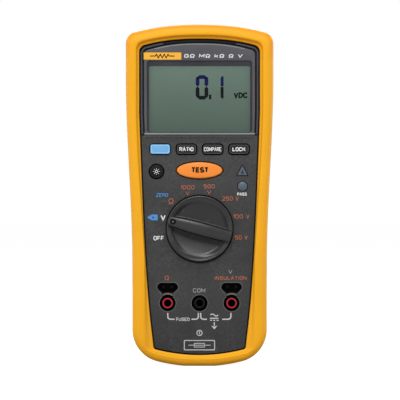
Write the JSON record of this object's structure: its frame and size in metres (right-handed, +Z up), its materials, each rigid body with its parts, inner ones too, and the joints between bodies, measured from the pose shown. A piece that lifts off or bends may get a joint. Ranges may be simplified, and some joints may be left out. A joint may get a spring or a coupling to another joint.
{
  "type": "insulation resistance tester",
  "caption": "Handheld electrical tester: dark case in a yellow rubber holster, display, keys, turning range knob, shrouded test-lead sockets, battery door and tilt stand.",
  "frame": {"origin": "on the ground plane, below the middle of the width and of the depth, with the tester standing upright on its foot", "axes": "+Z up along the length towards the display end, +X to the right seen from the front, -Y out of the front face, +Y out of the back"},
  "size_m": [0.0878, 0.05, 0.203],
  "materials": {
    "yellow_rubber": "satin",
    "stand_plastic": "fine texture",
    "case_plastic": "fine texture",
    "seal_rubber": "matte",
    "bezel_plastic": "satin",
    "clear_window": "gloss",
    "lcd_glass": "satin",
    "light_guide": "satin",
    "white_plastic": "satin",
    "strip_rubber": "matte",
    "keypad_rubber": "matte",
    "spring_steel": "satin",
    "board_green": "solder resist",
    "chip_black": "matte",
    "coil_tape": "tape",
    "relay_plastic": "satin",
    "capacitor_film": "gloss",
    "black_plastic": "matte",
    "cell_jacket": "gloss",
    "fuse_ceramic": "matte",
    "brass_contact": "satin",
    "red_plastic": "satin",
    "nickel_contact": "satin",
    "screw_steel": "satin",
    "slate_lens": "gloss",
    "led_body": "gloss",
    "knob_plastic": "satin",
    "white_mark": "satin",
    "blue_key": "satin",
    "dark_key": "satin",
    "orange_key": "satin"
  },
  "bodies": {
    "case": {"holster": "yellow_rubber", "front_case": "case_plastic", "rear_case": "case_plastic", "case_gasket": "seal_rubber", "display_bezel": "bezel_plastic", "display_window": "clear_window", "lcd_panel": "lcd_glass", "lcd_backlight": "light_guide", "lcd_holder": "white_plastic", "zebra_strips": "strip_rubber", "keypad_mat": "keypad_rubber", "key_domes": "spring_steel", "main_board": "board_green", "circuit_chips": "chip_black", "hv_transformer": "coil_tape", "relays": "relay_plastic", "hv_capacitors": "capacitor_film", "buzzer": "black_plastic", "battery_1": "cell_jacket", "battery_2": "cell_jacket", "battery_3": "cell_jacket", "battery_4": "cell_jacket", "battery_springs": "spring_steel", "battery_plates": "spring_steel", "fuse_body": "fuse_ceramic", "fuse_caps": "spring_steel", "fuse_clips": "brass_contact", "jack_cups": "black_plastic", "jack_left_sleeve": "red_plastic", "jack_com_sleeve": "black_plastic", "jack_right_sleeve": "red_plastic", "jack_left_contact": "nickel_contact", "jack_com_contact": "nickel_contact", "jack_right_contact": "nickel_contact", "probe_port_left": "black_plastic", "probe_port_right": "black_plastic", "probe_pins_left": "brass_contact", "probe_pins_right": "brass_contact", "case_screws": "screw_steel", "board_screws": "screw_steel", "hv_lens": "slate_lens", "pass_lens": "slate_lens", "indicator_leds": "led_body", "detent_ring": "white_plastic"},
    "rotary_switch": {"knob": "knob_plastic", "knob_pointer": "white_mark", "knob_clip": "spring_steel", "switch_rotor": "white_plastic", "switch_wipers": "brass_contact"},
    "shift_key": {"key_shift": "blue_key"},
    "ratio_key": {"key_ratio": "dark_key"},
    "compare_key": {"key_compare": "dark_key"},
    "lock_key": {"key_lock": "dark_key"},
    "light_key": {"key_light": "dark_key"},
    "test_key": {"key_test": "orange_key"},
    "bay_door": {"battery_door": "case_plastic"},
    "door_latch": {"door_lock": "screw_steel"},
    "stand": {"tilt_stand": "stand_plastic", "stand_pin": "screw_steel"}
  },
  "joints": [
    {"name": "knob_turn", "type": "hinge", "parent": "case", "child": "rotary_switch", "pos_m": [0, -0.018, 0.0816], "axis": [0, -1, 0], "range_deg": [-180, 30]},
    {"name": "shift_key_press", "type": "slide", "parent": "case", "child": "shift_key", "axis": [0, 1, 0], "range_m": [0, 0.001], "stiffness_N_per_m": 500, "springref_m": -0.001},
    {"name": "ratio_key_press", "type": "slide", "parent": "case", "child": "ratio_key", "axis": [0, 1, 0], "range_m": [0, 0.001], "stiffness_N_per_m": 500, "springref_m": -0.001},
    {"name": "compare_key_press", "type": "slide", "parent": "case", "child": "compare_key", "axis": [0, 1, 0], "range_m": [0, 0.001], "stiffness_N_per_m": 500, "springref_m": -0.001},
    {"name": "lock_key_press", "type": "slide", "parent": "case", "child": "lock_key", "axis": [0, 1, 0], "range_m": [0, 0.001], "stiffness_N_per_m": 500, "springref_m": -0.001},
    {"name": "light_key_press", "type": "slide", "parent": "case", "child": "light_key", "axis": [0, 1, 0], "range_m": [0, 0.001], "stiffness_N_per_m": 500, "springref_m": -0.001},
    {"name": "test_key_press", "type": "slide", "parent": "case", "child": "test_key", "axis": [0, 1, 0], "range_m": [0, 0.001], "stiffness_N_per_m": 500, "springref_m": -0.001},
    {"name": "door_lift_off", "type": "slide", "parent": "case", "child": "bay_door", "axis": [0, 1, 0], "range_m": [0, 0.03]},
    {"name": "door_lock_turn", "type": "hinge", "parent": "bay_door", "child": "door_latch", "pos_m": [0, 0.0205, 0.0796], "axis": [0, 1, 0], "range_deg": [0, 90]},
    {"name": "stand_swing", "type": "hinge", "parent": "case", "child": "stand", "pos_m": [0, 0.0234, 0.1635], "axis": [1, 0, 0], "range_deg": [0, 75]}
  ]
}
